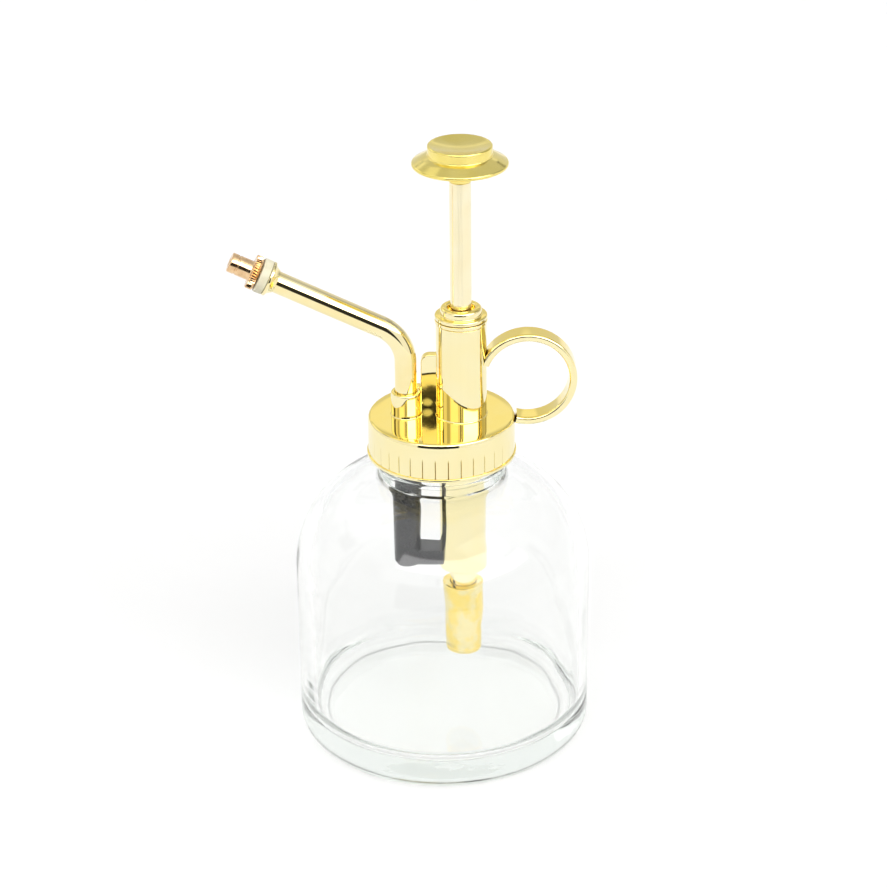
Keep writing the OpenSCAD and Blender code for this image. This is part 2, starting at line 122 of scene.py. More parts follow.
def rounded(corners, steps=4):
    """A closed outline from (r, z, corner radius) triples, each corner turned into an arc."""
    points = []
    for i, (x, z, radius) in enumerate(corners):
        here = Vector((x, z))
        if not radius:
            points.append((x, z))
            continue
        back = Vector(corners[i - 1][:2]) - here
        on = Vector(corners[(i + 1) % len(corners)][:2]) - here
        half = back.angle(on) / 2
        reach = min(radius / tan(half), 0.499 * back.length, 0.499 * on.length)
        centre = here + (back.normalized() + on.normalized()).normalized() * (reach / cos(half))
        arm = here + back.normalized() * reach - centre
        turn = arm.angle_signed(here + on.normalized() * reach - centre)
        for k in range(steps + 1):
            a = -turn * k / steps
            spoke = Vector((arm.x * cos(a) - arm.y * sin(a), arm.x * sin(a) + arm.y * cos(a)))
            points.append(tuple(centre + spoke))
    return points


def arc(centre, radius, start, end, steps):
    """Points on a circle from one angle to another, in degrees, both ends included."""
    angles = [radians(start + (end - start) * k / steps) for k in range(steps + 1)]
    return [(centre[0] + radius * cos(a), centre[1] + radius * sin(a)) for a in angles]


def clamp(value):
    """Keeps a value between 0 and 1."""
    return min(1.0, max(0.0, value))


def upright(axis):
    """Places (r, turn, height) round a vertical axis."""
    return lambda r, turn, z: Vector((axis[0] + r * cos(turn), axis[1] + r * sin(turn), z)) * MM


def along_spout(r, turn, s):
    """Places (r, turn, distance) along the spout's centreline, which bends from s = 0."""
    lean = min(max(s / BEND_R, 0.0), BEND_ANGLE)
    ahead = s - BEND_R * lean
    heading = Vector((-sin(lean), 0, cos(lean)))
    outward = Vector((cos(lean), 0, sin(lean)))
    bend_centre = Vector((SPOUT_X - BEND_R, 0, BEND_Z))
    spoke = outward * cos(turn) + Vector((0, 1, 0)) * sin(turn)
    return (bend_centre + outward * BEND_R + heading * ahead + spoke * r) * MM


def lathe(outline, place, segments=96, shape=None):
    """A bmesh turned from a closed outline of (r, z) points. shape(r, z, turn) gives a changed r."""
    bm = bmesh.new()
    turns = [2 * pi * k / segments for k in range(segments)]
    rings = []
    for r, z in outline:
        if r < 1e-6:
            rings.append([bm.verts.new(place(0, 0, z))])
        else:
            rings.append([bm.verts.new(place(shape(r, z, t) if shape else r, t, z)) for t in turns])
    for a, b in zip(rings, rings[1:] + rings[:1]):
        if len(a) == len(b) == 1:
            continue
        for k in range(segments):
            ring = [a[k % len(a)], a[(k + 1) % len(a)], b[(k + 1) % len(b)], b[k % len(b)]]
            bm.faces.new(list(dict.fromkeys(ring)))
    bmesh.ops.recalc_face_normals(bm, faces=bm.faces)
    return bm


def sweep(section, stations, closed=False):
    """A bmesh with a closed section of (u, v) points carried along stations of (origin, u axis, v axis)."""
    bm = bmesh.new()
    rings = [[bm.verts.new((o + u * x + v * y) * MM) for x, y in section] for o, u, v in stations]
    pairs = list(zip(rings, rings[1:] + rings[:1])) if closed else list(zip(rings, rings[1:]))
    for a, b in pairs:
        for k in range(len(section)):
            m = (k + 1) % len(section)
            bm.faces.new((a[k], a[m], b[m], b[k]))
    if not closed:
        bm.faces.new(rings[0])
        bm.faces.new(rings[-1])
    bmesh.ops.recalc_face_normals(bm, faces=bm.faces)
    return bm


def slab(outline, low, high, place):
    """A bmesh of a closed (a, b) outline between two heights, each point placed by place(a, b, height)."""
    bm = bmesh.new()
    rings = [[bm.verts.new(place(a, b, h)) for a, b in outline] for h in (low, high)]
    for k in range(len(outline)):
        m = (k + 1) % len(outline)
        bm.faces.new((rings[0][k], rings[0][m], rings[1][m], rings[1][k]))
    bm.faces.new(rings[0])
    bm.faces.new(rings[1])
    bmesh.ops.recalc_face_normals(bm, faces=bm.faces)
    return bm


def as_object(name, bm):
    """An object made from a bmesh, which is used up."""
    mesh = bpy.data.meshes.new(name)
    bm.to_mesh(mesh)
    bm.free()
    return bpy.data.objects.new(name, mesh)


def drill(bm, axis, radius, low, high):
    """Cuts an upright round hole through a bmesh."""
    outline = [(0, low), (radius, low), (radius, high), (0, high)]
    work, tool = as_object("drilled", bm), as_object("drill", lathe(outline, upright(axis), 96))
    for obj in (work, tool):
        bpy.context.scene.collection.objects.link(obj)
    hole = work.modifiers.new("hole", "BOOLEAN")
    hole.operation, hole.solver, hole.object = "DIFFERENCE", "EXACT", tool
    made = bpy.data.meshes.new_from_object(work.evaluated_get(bpy.context.evaluated_depsgraph_get()))
    out = bmesh.new()
    out.from_mesh(made)
    for obj in (work, tool):
        old = obj.data
        bpy.data.objects.remove(obj)
        bpy.data.meshes.remove(old)
    bpy.data.meshes.remove(made)
    return out


def bevel(bm, width, angle=35, steps=3):
    """Rounds the edges of a bmesh that are sharper than an angle in degrees."""
    edges = [e for e in bm.edges if len(e.link_faces) == 2 and e.calc_face_angle(0) > radians(angle)]
    bmesh.ops.bevel(
        bm, geom=edges, offset=width * MM, segments=steps, profile=0.5, affect="EDGES", clamp_overlap=True
    )
    return bm


def smooth(mesh, angle=40):
    """Smooth shading that keeps edges sharper than an angle in degrees."""
    mesh.polygons.foreach_set("use_smooth", [True] * len(mesh.polygons))
    mesh.set_sharp_from_angle(angle=radians(angle))
    mesh.update()


def piece(name, bm, finish, body, stands_for=()):
    """Makes an object from a bmesh, with a finish, riding on a body in place of CAD nodes."""
    obj = as_object(name, bm)
    smooth(obj.data)
    obj.data.materials.append(finish)
    bpy.context.scene.collection.objects.link(obj)
    even = obj.modifiers.new("even_normals", "WEIGHTED_NORMAL")
    even.keep_sharp = True
    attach(obj, body)
    if stands_for:
        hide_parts(*stands_for)
    return obj


# ---------- materials ----------


class Nodes:
    """A node tree that grows by small chains of nodes."""

    def __init__(self, tree):
        self.tree = tree

    def node(self, kind, inputs=None, **settings):
        """Adds a node. Inputs are numbers, colours or other nodes' outputs, by name or place."""
        made = self.tree.nodes.new("ShaderNode" + kind)
        for key, value in settings.items():
            setattr(made, key, value)
        for key, value in (inputs or {}).items():
            if isinstance(value, bpy.types.NodeSocket):
                self.tree.links.new(value, made.inputs[key])
            else:
                made.inputs[key].default_value = value
        return made

    def maths(self, operation, *values):
        """The result of one operation on numbers or other nodes' outputs."""
        return self.node("Math", dict(enumerate(values)), operation=operation).outputs[0]

    def sum(self, *values):
        """The sum of some values."""
        return reduce(lambda one, two: self.maths("ADD", one, two), values)

    def times(self, *values):
        """The product of some values."""
        return reduce(lambda one, two: self.maths("MULTIPLY", one, two), values)

    def remap(self, value, low, high, start=0.3, end=0.7):
        """Spreads a value between start and end over low to high."""
        inputs = {"Value": value, 1: start, 2: end, 3: low, 4: high}
        return self.node("MapRange", inputs, interpolation_type="SMOOTHSTEP").outputs[0]


class Finish(Nodes):
    """A Principled material whose noise is measured in millimetres."""

    def __init__(self, name, **values):
        self.material = bpy.data.materials.new(name)
        self.material.use_nodes = True
        super().__init__(self.material.node_tree)
        self.shader = self.tree.nodes["Principled BSDF"]
        self.output = self.tree.nodes["Material Output"]
        for key, value in values.items():
            self.shader.inputs[key.replace("_", " ")].default_value = value
        self.where = self.node("TexCoord").outputs["Object"]

    def noise(self, size, detail=3.0, stretch=None, seed=0.0):
        """Noise whose features are about size millimetres across, stretched along an axis if asked."""
        where = self.where
        if stretch or seed:
            spread = {1: (seed, seed, seed), 3: stretch or (1, 1, 1)}
            where = self.node("Mapping", {0: where, **spread}).outputs[0]
        inputs = {"Vector": where, "Scale": 1 / (size * MM), "Detail": detail}
        return self.node("TexNoise", inputs).outputs["Fac"]

    def blend(self, factor, one, two):
        """A colour between two others."""
        mix = self.node("Mix", {0: factor, 6: one, 7: two}, data_type="RGBA")
        return mix.outputs[2]

    def feed(self, **sockets):
        """Links sockets to the shader's inputs."""
        for key, value in sockets.items():
            self.tree.links.new(value, self.shader.inputs[key.replace("_", " ")])

    def painted_crevice_shade(self, tone):
        """A tone with painted shade: it turns dark brown where other surfaces crowd in."""
        # Painted shade: a brown that stands in for the shade in creases, corners and joints.
        reach, painted_shade_brown = 0.6 * MM, colour(0.30, 0.20, 0.05)
        shelter = self.node("AmbientOcclusion", {"Distance": reach}, samples=6).outputs["AO"]
        return self.blend(self.remap(shelter, 0.0, 1.0, 0.15, 0.46), painted_shade_brown, tone)

    def bump(self, height, depth, strength=1.0, after=None):
        """A bump whose full height is depth millimetres."""
        inputs = {"Strength": strength, "Distance": depth * MM, "Height": height}
        if after is not None:
            inputs["Normal"] = after
        return self.node("Bump", inputs).outputs[0]


def colour(r, g, b):
    """An opaque colour, in linear light."""
    return (r, g, b, 1.0)


def gold_plating():
    """Vacuum-metallised gold lacquer: mirror-bright, with a painted reflection that makes faces that point up a
    deeper gold, and painted shade in crevices.
    """
    f = Finish("gold_plating", Metallic=1.0)
    facing = f.node("SeparateXYZ", {0: f.node("TexCoord").outputs["Normal"]}).outputs[2]
    # Painted reflection: faces that point up blend towards the second, deeper gold, standing in for the dimmer
    # room they mirror; the noise adds random tone.
    painted_upward_reflection = f.remap(facing, 0.0, 1.0, 0.25, 0.95)
    cloudy = f.noise(9, 2)
    depth = f.sum(f.times(painted_upward_reflection, 0.9), f.remap(cloudy, 0.0, 0.12))
    tone = f.blend(depth, colour(0.92, 0.83, 0.50), colour(0.97, 0.76, 0.19))
    smudge = f.remap(f.noise(6, 4, seed=3.0), 0.01, 0.028)
    speck = f.remap(f.noise(0.7, 2), 0.0, 0.015, 0.6, 0.75)
    peel = f.bump(f.noise(1.6, 2), 0.0001)
    waves = f.bump(f.noise(14, 1), 0.0006, after=peel)
    # Painted shade: the base colour darkens to brown in crevices.
    f.feed(Base_Color=f.painted_crevice_shade(tone), Roughness=f.sum(smudge, speck), Normal=waves)
    return f.material


def worn_gold():
    """Mottled gold for the tube that stands in the water."""
    f = Finish("worn_gold", Metallic=1.0)
    large = f.remap(f.noise(4.5, 3, seed=2.0), 0.0, 0.8, 0.35, 0.6)
    small = f.remap(f.noise(1.2, 3), 0.0, 0.2)
    tone = f.blend(f.sum(large, small), colour(0.94, 0.84, 0.48), colour(0.98, 0.76, 0.20))
    f.feed(Base_Color=tone, Roughness=f.remap(f.noise(2, 4), 0.06, 0.18), Normal=f.bump(f.noise(3, 2), 0.01))
    return f.material


def button_gold():
    """The button's gold: a little deeper and hazier than the cap's, from handling."""
    f = Finish("button_gold", Metallic=1.0)
    cloudy = f.remap(f.noise(6, 3), 0.0, 1.0)
    tone = f.blend(cloudy, colour(0.92, 0.77, 0.25), colour(0.89, 0.73, 0.20))
    rough = f.sum(f.remap(f.noise(3, 5, seed=5.0), 0.11, 0.17), f.remap(f.noise(0.5, 2), 0.0, 0.03))
    # Painted shade: the base colour darkens to brown in crevices.
    f.feed(Base_Color=f.painted_crevice_shade(tone), Roughness=rough, Normal=f.bump(f.noise(0.8, 3), 0.0008))
    return f.material


def gold_tube():
    """Gold-plated drawn tube, with faint marks that run along it."""
    f = Finish("gold_tube", Metallic=1.0)
    drawn = f.noise(0.6, 3, stretch=(1, 1, 0.03))
    cloudy = f.remap(f.noise(7, 2), 0.0, 1.0)
    tone = f.blend(cloudy, colour(0.93, 0.83, 0.50), colour(0.92, 0.79, 0.42))
    rough = f.sum(f.remap(drawn, 0.015, 0.04), f.remap(f.noise(5, 4, seed=2.0), 0.0, 0.015))
    f.feed(Base_Color=tone, Roughness=rough, Normal=f.bump(drawn, 0.0003))
    return f.material


def satin_gold():
    """The rod's paler, softer gold, rubbed lengthwise by its seal."""
    f = Finish("satin_gold", Metallic=1.0)
    rubbed = f.noise(0.35, 4, stretch=(1, 1, 0.02))
    cloudy = f.remap(f.noise(8, 2), 0.0, 1.0)
    tone = f.blend(cloudy, colour(0.95, 0.88, 0.64), colour(0.93, 0.83, 0.55))
    f.feed(Base_Color=tone, Roughness=f.remap(rubbed, 0.16, 0.27), Normal=f.bump(rubbed, 0.002))
    return f.material


def bare_brass():
    """Turned reddish brass, with fine lathe rings and darker patches at random."""
    f = Finish("bare_brass", Metallic=1.0)
    rings = f.noise(0.16, 2, stretch=(1, 0.02, 0.02))
    stain = f.remap(f.noise(1.6, 5), 0.0, 1.0, 0.35, 0.75)
    tone = f.blend(stain, colour(0.86, 0.61, 0.35), colour(0.66, 0.42, 0.22))
    f.feed(Base_Color=tone, Roughness=f.remap(rings, 0.07, 0.17), Normal=f.bump(rings, 0.0015))
    return f.material


def black_plastic():
    """Glossy black moulding with a faint texture and dusty patches."""
    f = Finish("black_plastic", IOR=1.5)
    dust = f.remap(f.noise(0.5, 4), 0.0, 1.0, 0.55, 0.8)
    tone = f.blend(dust, colour(0.012, 0.012, 0.014), colour(0.05, 0.05, 0.052))
    rough = f.sum(f.remap(f.noise(3, 3, seed=1.0), 0.10, 0.20), f.times(dust, 0.15))
    f.feed(Base_Color=tone, Roughness=rough, Normal=f.bump(f.noise(0.4, 2), 0.006))
    return f.material


def white_plastic():
    """Milky white moulding, a little translucent."""
    f = Finish("white_plastic", IOR=1.49, Subsurface_Weight=0.25, Subsurface_Scale=0.0008)
    f.shader.inputs["Subsurface Radius"].default_value = (1.0, 0.9, 0.7)
    cloudy = f.remap(f.noise(2.2, 3), 0.0, 1.0)
    tone = f.blend(cloudy, colour(0.66, 0.62, 0.46), colour(0.60, 0.56, 0.40))
    rough = f.remap(f.noise(1.2, 3), 0.32, 0.5)
    f.feed(Base_Color=tone, Roughness=rough, Normal=f.bump(f.noise(0.5, 2), 0.008))
    return f.material


def seal_rubber():
    """Moulded black rubber, matt and slightly grained."""
    f = Finish("seal_rubber", IOR=1.52)
    grain = f.noise(0.25, 4)
    tone = f.blend(f.remap(grain, 0.0, 1.0), colour(0.012, 0.012, 0.012), colour(0.03, 0.03, 0.028))
    f.feed(Base_Color=tone, Roughness=f.remap(grain, 0.5, 0.75), Normal=f.bump(grain, 0.02))
    return f.material


def spring_steel():
    """Bright stainless wire and small turned steel parts."""
    f = Finish("spring_steel", Metallic=1.0)
    drawn = f.noise(0.2, 3)
    tone = f.blend(f.remap(f.noise(2, 2), 0.0, 1.0), colour(0.74, 0.75, 0.76), colour(0.62, 0.63, 0.65))
    f.feed(Base_Color=tone, Roughness=f.remap(drawn, 0.16, 0.30), Normal=f.bump(drawn, 0.003))
    return f.material


def clear_glass():
    """Soda-lime glass with a faint green body, gentle waves from the mould, and clear shadows."""
    f = Finish("clear_glass", IOR=1.5, Transmission_Weight=1.0, Roughness=0.0)
    f.shader.inputs["Base Color"].default_value = colour(0.998, 1.0, 0.998)
    waves = f.bump(f.noise(26, 1, stretch=(1, 1, 0.6)), 0.35)
    ripples = f.bump(f.noise(7, 2), 0.02, after=waves)
    smear = f.remap(f.noise(18, 4, seed=4.0), 0.0, 0.012, 0.5, 0.8)
    f.feed(Normal=ripples, Roughness=smear)
    lit = f.node("LightPath").outputs["Is Shadow Ray"]
    clear = f.node("BsdfTransparent", {"Color": colour(0.985, 0.988, 0.985)}).outputs[0]
    both = f.node("MixShader", {0: lit, 1: f.shader.outputs[0], 2: clear})
    f.tree.links.new(both.outputs[0], f.output.inputs["Surface"])
    body = f.node("VolumeAbsorption", {"Color": colour(0.64, 0.76, 0.66), "Density": 4.5})
    f.tree.links.new(body.outputs[0], f.output.inputs["Volume"])
    return f.material


def studio_floor():
    """A plain white table, very slightly uneven in tone."""
    f = Finish("studio_floor", Roughness=0.9)
    cloudy = f.remap(f.noise(180, 2), 0.0, 1.0)
    f.feed(Base_Color=f.blend(cloudy, colour(0.80, 0.80, 0.798), colour(0.787, 0.787, 0.785)))
    return f.material


# ---------- pieces ----------


def shoulder_end(radius, r):
    """How far above STRAIGHT_Z, and at what angle, a shoulder of some radius reaches r."""
    across = r - SHOULDER_X
    rise = sqrt(radius**2 - across**2)
    return rise, degrees(atan2(rise, across))


def bottle_outside():
    """The glass from the middle of its underside, up the outside and over the top of its finish."""
    edge_r, hollow, top = 5.0, 0.6, BOTTLE.high.z
    foot_r = BOTTLE_R - edge_r
    land = foot_r - 1.2
    points = [(land * k / 12, hollow * (1 + cos(pi * k / 12)) / 2) for k in range(13)]
    points += [(foot_r - 0.4, 0.0)] + arc((foot_r, edge_r), edge_r, -90, 0, 14)
    points += [(BOTTLE_R, z) for z in (9, 14, 20, 26, 32, 38, 44, 47.5)]
    rise, last = shoulder_end(SHOULDER_R, NECK_R + 1.6)
    points += arc((SHOULDER_X, STRAIGHT_Z), SHOULDER_R, 0, last, 34)
    points += [(NECK_R + 0.7, STRAIGHT_Z + rise + 0.35), (NECK_R + 0.12, STRAIGHT_Z + rise + 0.9)]
    # the bead below the cap
    bead_r, bead_low, bead_high, bead_edge = NECK_R + 0.35, CAP_Z - 3.7, CAP_Z - 2.3, 0.5
    points += arc((bead_r - bead_edge, bead_low + bead_edge), bead_edge, -62, 0, 5)
    points += arc((bead_r - bead_edge, bead_high - bead_edge), bead_edge, 0, 62, 6)
    points += [(NECK_R, bead_high + 0.2)]
    # rows close enough together to take the thread
    pace = 0.2
    rows = int((top - bead_high - 1.2) / pace)
    points += [(NECK_R, bead_high + 0.6 + pace * k) for k in range(rows)]
    return points + arc((NECK_R - 0.6, top - 0.6), 0.6, 10, 90, 5)


def bottle_inside():
    """The glass from the top of its finish, down the inside to the middle of its floor."""
    edge_r, dome, top = 6.0, 0.25, BOTTLE.high.z
    inner_shoulder = SHOULDER_R - WALL
    rise, first = shoulder_end(inner_shoulder, NECK_BORE_R + 0.6)
    points = arc((NECK_BORE_R + 0.5, top - 0.5), 0.5, 90, 180, 5)
    points += [(NECK_BORE_R, z) for z in (86, 82, 78.5, STRAIGHT_Z + rise + 1.0)]
    points += [(NECK_BORE_R + 0.12, STRAIGHT_Z + rise + 0.35)]
    points += arc((SHOULDER_X, STRAIGHT_Z), inner_shoulder, first, 0, 34)
    points += [(BOTTLE_R - WALL, z) for z in (47.5, 42, 36, 30, 24, 18)]
    floor_r = BOTTLE_R - WALL - edge_r
    points += arc((floor_r, FLOOR_T + edge_r), edge_r, 0, -90, 14)
    return points + [(floor_r * (1 - k / 10), FLOOR_T + dome * (1 - cos(pi * k / 10))) for k in range(1, 11)]


def neck_ridge(r, z, turn):
    """Raises the neck's outside into its thread, which runs out at both ends."""
    crest, start, half_root, half_crest, run_out = 1.1, CAP_Z + 2.9, 0.8, 0.4, 7.5
    if abs(r - NECK_R) > 0.05 or z < start - 1:
        return r
    height = 0.0
    for lap in (0, 1):
        along = turn / (2 * pi) + lap
        if along > THREAD_TURNS:
            continue
        off = abs(z - start - THREAD_PITCH * along)
        run = min(1.0, along * run_out, (THREAD_TURNS - along) * run_out)
        height = max(height, crest * run * clamp((half_root - off) / (half_root - half_crest)))
    return r + height


def glass_r(z):
    """Outside radius of the glass body at a height."""
    if z < STRAIGHT_Z:
        return BOTTLE_R
    return SHOULDER_X + sqrt(max(0.0, SHOULDER_R**2 - (z - STRAIGHT_Z) ** 2))


def ripple(bm):
    """Makes the glass a little uneven inside, as blowing leaves it. The neck and the floor stay true."""
    neck, floor_z, top = NECK_BORE_R + 0.3, 9, 76
    for v in bm.verts:
        place = v.co / MM
        r = place.xy.length
        inside = neck < r < BOTTLE_R - 3.0 and FLOOR_T < place.z < top and r < glass_r(place.z) - 2.5
        if inside:
            push = 0.28 * noise.noise(place / 17) + 0.10 * noise.noise(place / 7)
            push *= min(1.0, (r - neck) / 4) * clamp((place.z - floor_z) / 5)
            v.co.xy *= 1 + push / r


def make_bottle(finish):
    """The glass bottle, with its thread and its uneven inside."""
    bm = lathe(bottle_outside() + bottle_inside(), upright((0, 0)), 192, neck_ridge)
    ripple(bm)
    return piece("bottle_glass", bm, finish, "bottle", ["glass_bottle"])


def cap_grooves(r, z, turn):
    """Fine upright grooves low on the cap's skirt, which fade out upwards."""
    depth, half_width, fade = 0.32, 0.16, 0.5
    low, high = CAP_Z + 0.9, CAP_Z + 6.4
    if abs(r - CAP_R) > 0.02 or not low <= z <= high:
        return r
    share = turn / (2 * pi) * GROOVES
    off = abs(share - floor(share) - 0.5) * 2 * pi * CAP_R / GROOVES
    return r - min(1.0, (high - z) / fade) * depth * max(0.0, 1 - off / half_width)


def rolled(r, z, slow, tight):
    """A rolled edge that leaves an upright wall slowly and then turns in tightly to a flat top."""
    turn = 25
    inner = slow - tight
    tip = (r - slow + inner * cos(radians(turn)), z + inner * sin(radians(turn)))
    return arc((r - slow, z), slow, 0, turn, 6) + arc(tip, tight, turn + 8, 88, 7)


def make_cap(finish):
    """The screw cap's shell: lip, grooved skirt, smooth band, rolled edge and flat top."""
    under, lip_edge = CAP_TOP - DISC_T, 0.25
    outline = [(CAP_BORE_R + 0.2, CAP_Z), (LIP_R - lip_edge, CAP_Z)]
    outline += arc((LIP_R - lip_edge, CAP_Z + lip_edge), lip_edge, -60, 0, 3)
    outline += rolled(LIP_R, CAP_Z + 0.35, 0.9, 0.2)
    outline += [(CAP_R, CAP_Z + 0.96 + 0.5 * k) for k in range(11)]
    outline += [(CAP_R, CAP_Z + 6.41), (CAP_R, CAP_Z + 7)]
    outline += rolled(CAP_R, CAP_TOP - 1.42, 2.4, 0.7)
    outline += [(CAP_R - 3, CAP_TOP), (0, CAP_TOP), (0, under), (CAP_BORE_R - 0.5, under)]
    outline += arc((CAP_BORE_R - 0.4, under - 0.4), 0.4, 80, 0, 3)
    outline += [(CAP_BORE_R, CAP_Z + 4), (CAP_BORE_R, CAP_Z + 0.2)]
    bm = lathe(outline, upright((0, 0)), GROOVES * 24, cap_grooves)
    bm = drill(bm, PUMP, SOCKET_R, CAP_Z, CAP_TOP + 1)
    bm = drill(bm, (SPOUT_X, 0), SPOUT_R + 0.05, CAP_Z, CAP_TOP + 1)
    return piece("cap_shell", bm, finish, "head", ["pump_head"])


def make_cap_thread(finish):
    """The ridge inside the cap that runs in the bottle's thread."""
    steps, wall, start, swell_steps = 90, CAP_BORE_R + 0.02, CAP_Z + 1.3, 10
    stations = []
    for k in range(steps + 1):
        turns = THREAD_TURNS * k / steps
        out = Vector((cos(2 * pi * turns), sin(2 * pi * turns), 0))
        swell = min(1.0, min(k, steps - k) / swell_steps)
        middle = out * wall + Vector((0, 0, start + THREAD_PITCH * turns))
        stations.append((middle, -out * (0.06 + 0.94 * swell), Vector((0, 0, 1))))
    section = rounded([(-0.3, -0.75, 0), (0, -0.75, 0.1), (1.05, -0.4, 0.15),
                       (1.05, 0.4, 0.15), (0, 0.75, 0.1), (-0.3, 0.75, 0)], 2)
    return piece("cap_thread", sweep(section, stations), finish, "head", ["pump_head"])


def pillar(radius, bore, top, top_edge, foot):
    """The outline of a tube on the cap, sunk into it, with a fillet round its foot and a rounded rim."""
    sunk = CAP_TOP - 0.7
    outline = [(bore, sunk), (radius + foot - 0.05, sunk), (radius + foot, CAP_TOP - 0.02)]
    outline += arc((radius + foot, CAP_TOP + foot), foot, 268, 180, 6)
    outline += [(radius, CAP_TOP + (top - CAP_TOP) * k / 6) for k in range(1, 6)]
    outline += arc((radius - top_edge, top - top_edge), top_edge, 0, 90, 6)
    return outline + [(bore + 0.15, top), (bore, top - 0.15)]


def make_tower(finish):
    """The tower that holds the pump and its gland."""
    bm = lathe(pillar(TOWER_R, SOCKET_R, TOWER_TOP, 0.2, 0.35), upright(PUMP), 128)
    return piece("pump_tower", bm, finish, "head", ["pump_head"])


def make_boss(finish):
    """The low boss that the spout stands in."""
    outline = pillar(BOSS_R, SPOUT_R + 0.05, CAP_TOP + BOSS_H, 0.45, 0.3)
    bm = lathe(outline, upright((SPOUT_X, 0)), 96)
    return piece("spout_boss", bm, finish, "head", ["pump_head"])


def make_rib(finish):
    """The upright plate behind the boss and the tower, with one rounded corner and softened edges."""
    front, thick, end, top = 3.6, 2.5, -5.4, CAP_TOP + 15.3
    foot_top, sunk, far = CAP_TOP + BOSS_H - 0.6, CAP_TOP - 0.5, PUMP[0] + 0.5
    outline = rounded([(SPOUT_X, sunk, 0), (far, sunk, 0), (far, top, 0), (end, top, 2.4),
                       (end, foot_top, 0.5), (SPOUT_X, foot_top, 0)], 8)
    bm = slab(outline, front, front + thick, lambda x, z, y: Vector((x, y, z)) * MM)
    bm = bevel(bm, 0.3, 50, 3)
    bm = drill(bm, PUMP, SOCKET_R + 0.3, CAP_Z, TOWER_TOP)
    return piece("rib_plate", bm, finish, "head", ["pump_head"])


def make_ring(finish):
    """The finger ring: a rounded band from the cap's rim round to the tower."""
    centre, outer, band, width = Vector((22.9, 0, CAP_TOP + 10.7)), 13.0, 2.05, 6.1
    h, w = band / 2, width / 2
    section = rounded([(-h, -w, 0.7), (h, -w, 0.7), (h, w, 0.7), (-h, w, 0.7)], 7)
    stations, steps, start, span = [], 160, -105, 264
    for k in range(steps + 1):
        a = radians(start + span * k / steps)
        out = Vector((cos(a), 0, sin(a)))
        stations.append((centre + out * (outer - h), out, Vector((0, 1, 0))))
    return piece("finger_ring", sweep(section, stations), finish, "head", ["pump_head"])


def make_gland(finish):
    """The stepped ring that closes the tower: two beads, a waist between them, and a rounded collar."""
    z, outer, waist, spigot = TOWER_TOP, TOWER_R + 0.25, TOWER_R - 0.25, SOCKET_R - 0.05
    bore, collar, mouth = ROD_R + 0.15, 5.5, 3.6
    outline = rounded([
        (bore, z + 1.6, 0.15), (bore, z - 1.2, 0), (bore + 1, z - 1.2, 0), (bore + 1, z - 2.55, 0.1),
        (spigot, z - 2.55, 0.2), (spigot, z + 0.05, 0.1), (outer, z + 0.05, 0.35),
        (outer, z + 1.15, 0.42), (waist, z + 1.15, 0.1), (waist, z + 1.35, 0.1),
        (outer, z + 1.35, 0.4), (outer, z + 2.5, 0.5), (collar, z + 2.5, 0.3), (collar, z + 4.6, 1.1),
        (mouth, z + 4.6, 0.6), (mouth, z + 1.6, 0.2)], 7)
    bm = lathe(outline, upright(PUMP), 128)
    return piece("gland_ring", bm, finish, "head", ["gland_cap"])


def make_rod(finish):
    """The plunger rod, with its clip's groove and a plain stud at each end."""
    low, high, groove = PISTON.high.z + 0.05, BUTTON.low.z - 0.05, CLIP.low.z - 0.03
    stud, screw, groove_r, groove_top = 1.45, 1.9, ROD_R - 0.5, groove + 1.25
    outline = rounded([
        (0, ROD.low.z, 0), (stud, ROD.low.z, 0.3), (stud, low, 0.1), (ROD_R, low, 0.25),
        (ROD_R, groove, 0.05), (groove_r, groove, 0.05), (groove_r, groove_top, 0.05),
        (ROD_R, groove_top, 0.05), (ROD_R, high, 0.2), (screw, high, 0.1), (screw, ROD.high.z, 0.3),
        (0, ROD.high.z, 0)], 4)
    bm = lathe(outline, upright(PUMP), 64)
    return piece("rod", bm, finish, "plunger", ["plunger_rod"])


def make_button(finish):
    """The thumb button: hub, shallow cone under a wide flange, rolled rim, and a raised, dished middle."""
    z, r = BUTTON.low.z, BUTTON.size.x / 2
    bore, bore_top, hub, rim_edge = 1.95, z + 5.9, 3.05, 0.58
    rim_z, side_r, top = z + 4.7, r * 0.672, z + 9.75
    crest, cove = 0.5, 0.35
    edge_r, depth = side_r - crest, 1.25
    dish_r = (edge_r**2 + depth**2) / (2 * depth)
    outline = [(bore, z), (hub - 0.2, z), (hub, z + 0.2), (hub, z + 1.1), (hub + 0.2, z + 1.42)]
    outline += [(3.6, z + 1.58), (6.6, z + 2.55), (r - 0.95, rim_z - 0.6)]
    outline += arc((r - rim_edge, rim_z), rim_edge, -70, 60, 8)
    outline += [(r - 0.75, rim_z + 0.66), (r - 2.2, z + 6.22), (side_r + 0.75, z + 6.72)]
    outline += arc((side_r + cove, z + 7.2), cove, -106, -180, 6)
    outline += arc((side_r - crest, top - crest), crest, 0, 88, 12)
    outline += arc((0, top - depth + dish_r), dish_r, degrees(asin(edge_r / dish_r)) - 90, -90, 12)
    outline += [(0, bore_top), (bore, bore_top)]
    bm = lathe(outline, upright(PUMP), 160)
    return piece("button", bm, finish, "plunger", ["thumb_button"])


